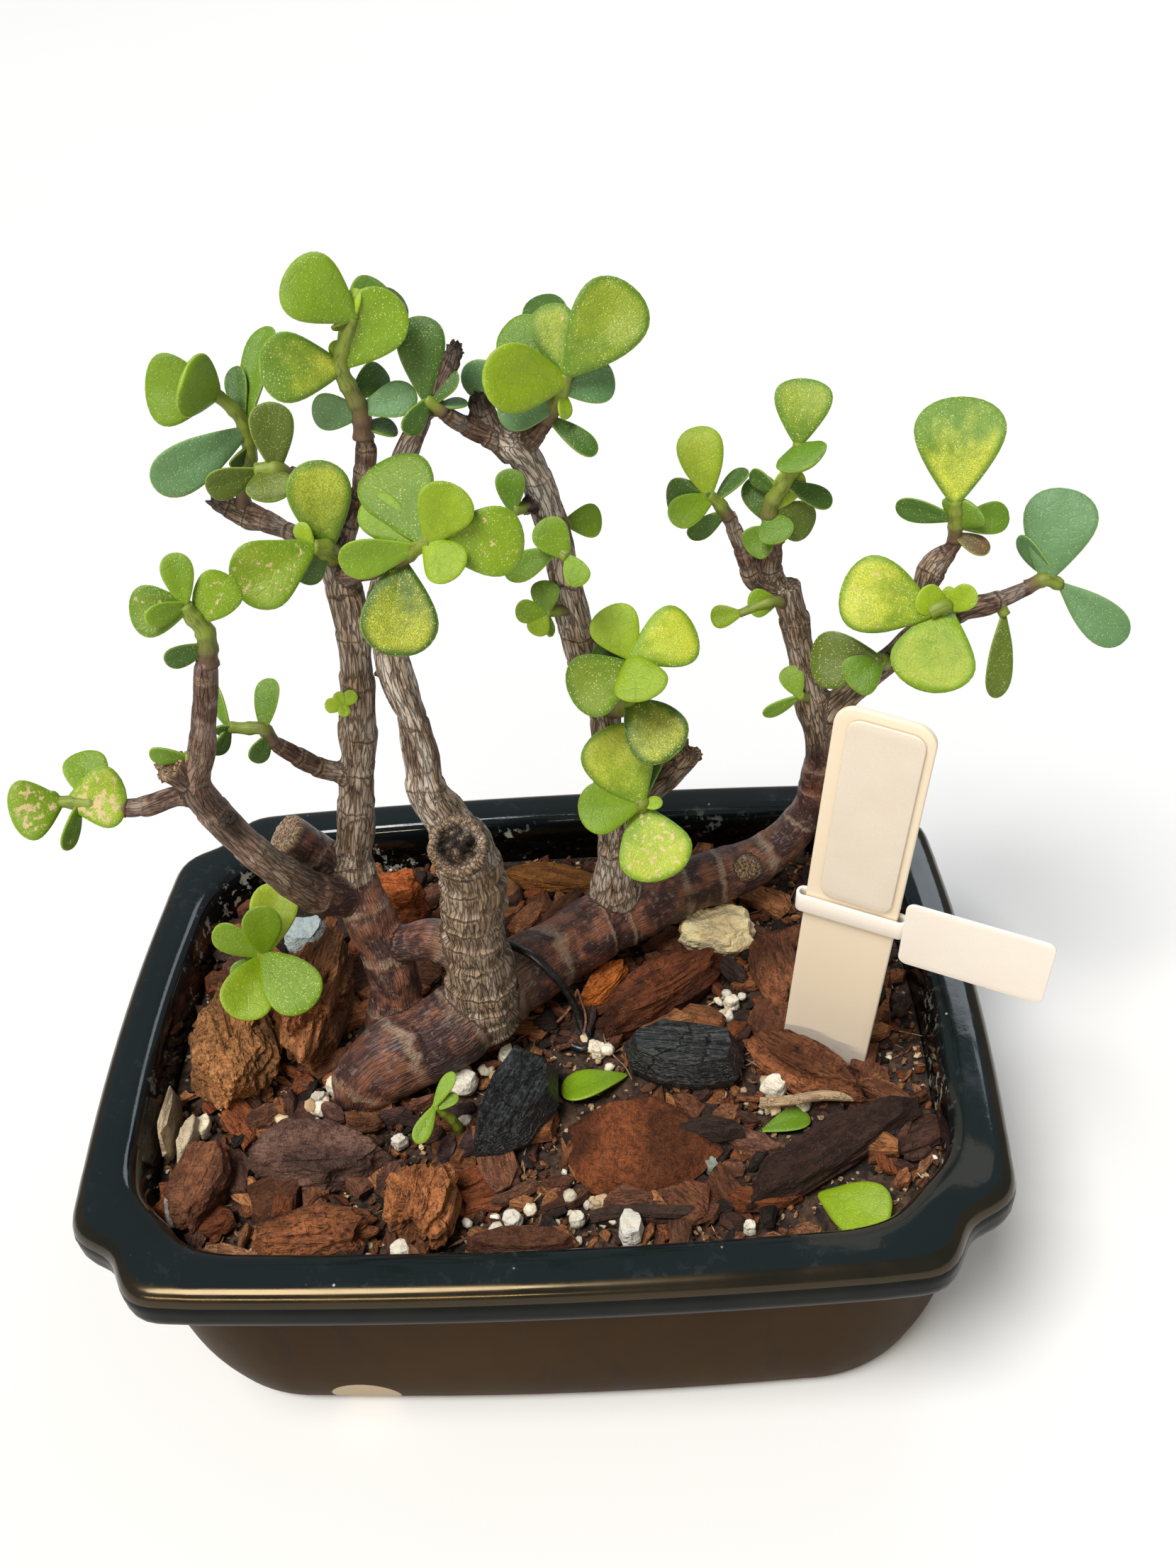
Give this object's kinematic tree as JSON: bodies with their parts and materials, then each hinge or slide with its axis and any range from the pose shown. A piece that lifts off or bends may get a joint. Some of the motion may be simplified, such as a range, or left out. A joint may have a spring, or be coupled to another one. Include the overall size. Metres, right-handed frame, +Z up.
{
  "type": "dwarf jade bonsai in a glazed pot",
  "caption": "Small jade bonsai with thick spoon-shaped leaves on bent woody trunks, rooted in bark mulch in a shallow rectangular pot with a broad rim, with blank plant labels.",
  "frame": {"origin": "centre of the pot's flat underside", "axes": "+X to the right along the pot's long side as the picture shows it, +Y away from its viewer, +Z up; -Z is out of the flat underside"},
  "size_m": [0.2406, 0.1526, 0.2367],
  "materials": {
    "glaze": "glossy black-teal glaze",
    "soil": "rough, crumbly",
    "bark_skin": "rough, fibrous",
    "bark_chip": "rough, split",
    "pale_wood": "dull",
    "charcoal": "dull, fine grain",
    "pumice": "rough, porous",
    "pebble": "dull",
    "perlite": "rough, porous",
    "leaf": "waxy, half gloss",
    "stake": "half matt",
    "label_paper": "smooth, blank",
    "wire": "half gloss"
  },
  "bodies": {
    "root": {"pot": "glaze", "soil": "soil", "trunk_and_branches": "bark_skin", "top_left_shoot": "leaf", "upper_left_shoot": "leaf", "left_twin_shoot": "leaf", "left_crown_shoot": "leaf", "middle_crown_shoot": "leaf", "left_trunk_buds": "leaf", "left_tip_shoot": "leaf", "far_left_shoot": "leaf", "low_left_twig_shoot": "leaf", "left_branch_leaf": "leaf", "back_left_shoot": "leaf", "back_crown_shoot": "leaf", "back_trunk_leaf": "leaf", "back_trunk_rear_leaf": "leaf", "back_trunk_pair": "leaf", "back_trunk_sprig": "leaf", "centre_shoot": "leaf", "low_centre_shoot": "leaf", "right_fork_left_shoot": "leaf", "right_fork_crown_shoot": "leaf", "right_trunk_side_pair": "leaf", "right_trunk_low_pair": "leaf", "right_big_shoot": "leaf", "right_branch_pair": "leaf", "right_branch_hanging_leaf": "leaf", "far_right_shoot": "leaf", "right_heart_shoot": "leaf", "low_sprig": "leaf", "seedling": "leaf", "bark_round_left": "bark_chip", "bark_jagged_left": "bark_chip", "bark_dark_slab": "bark_chip", "bark_brown_left": "bark_chip", "bark_front_left": "bark_chip", "bark_orange": "bark_chip", "bark_round_plate": "bark_chip", "bark_red_long": "bark_chip", "bark_orange_small": "bark_chip", "bark_red_right": "bark_chip", "bark_dark_strip": "bark_chip", "bark_back_strip": "bark_chip", "bark_red_upright": "bark_chip", "bark_front_strip": "bark_chip", "bark_behind_stake": "bark_chip", "pale_slip": "pale_wood", "charcoal_left": "charcoal", "charcoal_right": "charcoal", "pumice_stone": "pumice", "blue_stone": "pebble", "perlite_grain": "perlite", "fallen_leaf_centre": "leaf", "fallen_leaf_front": "leaf", "fallen_leaf_right": "leaf", "label_stake": "stake", "pasted_label": "label_paper", "loop_tag": "label_paper", "anchor_wire": "wire"}
  },
  "joints": []
}
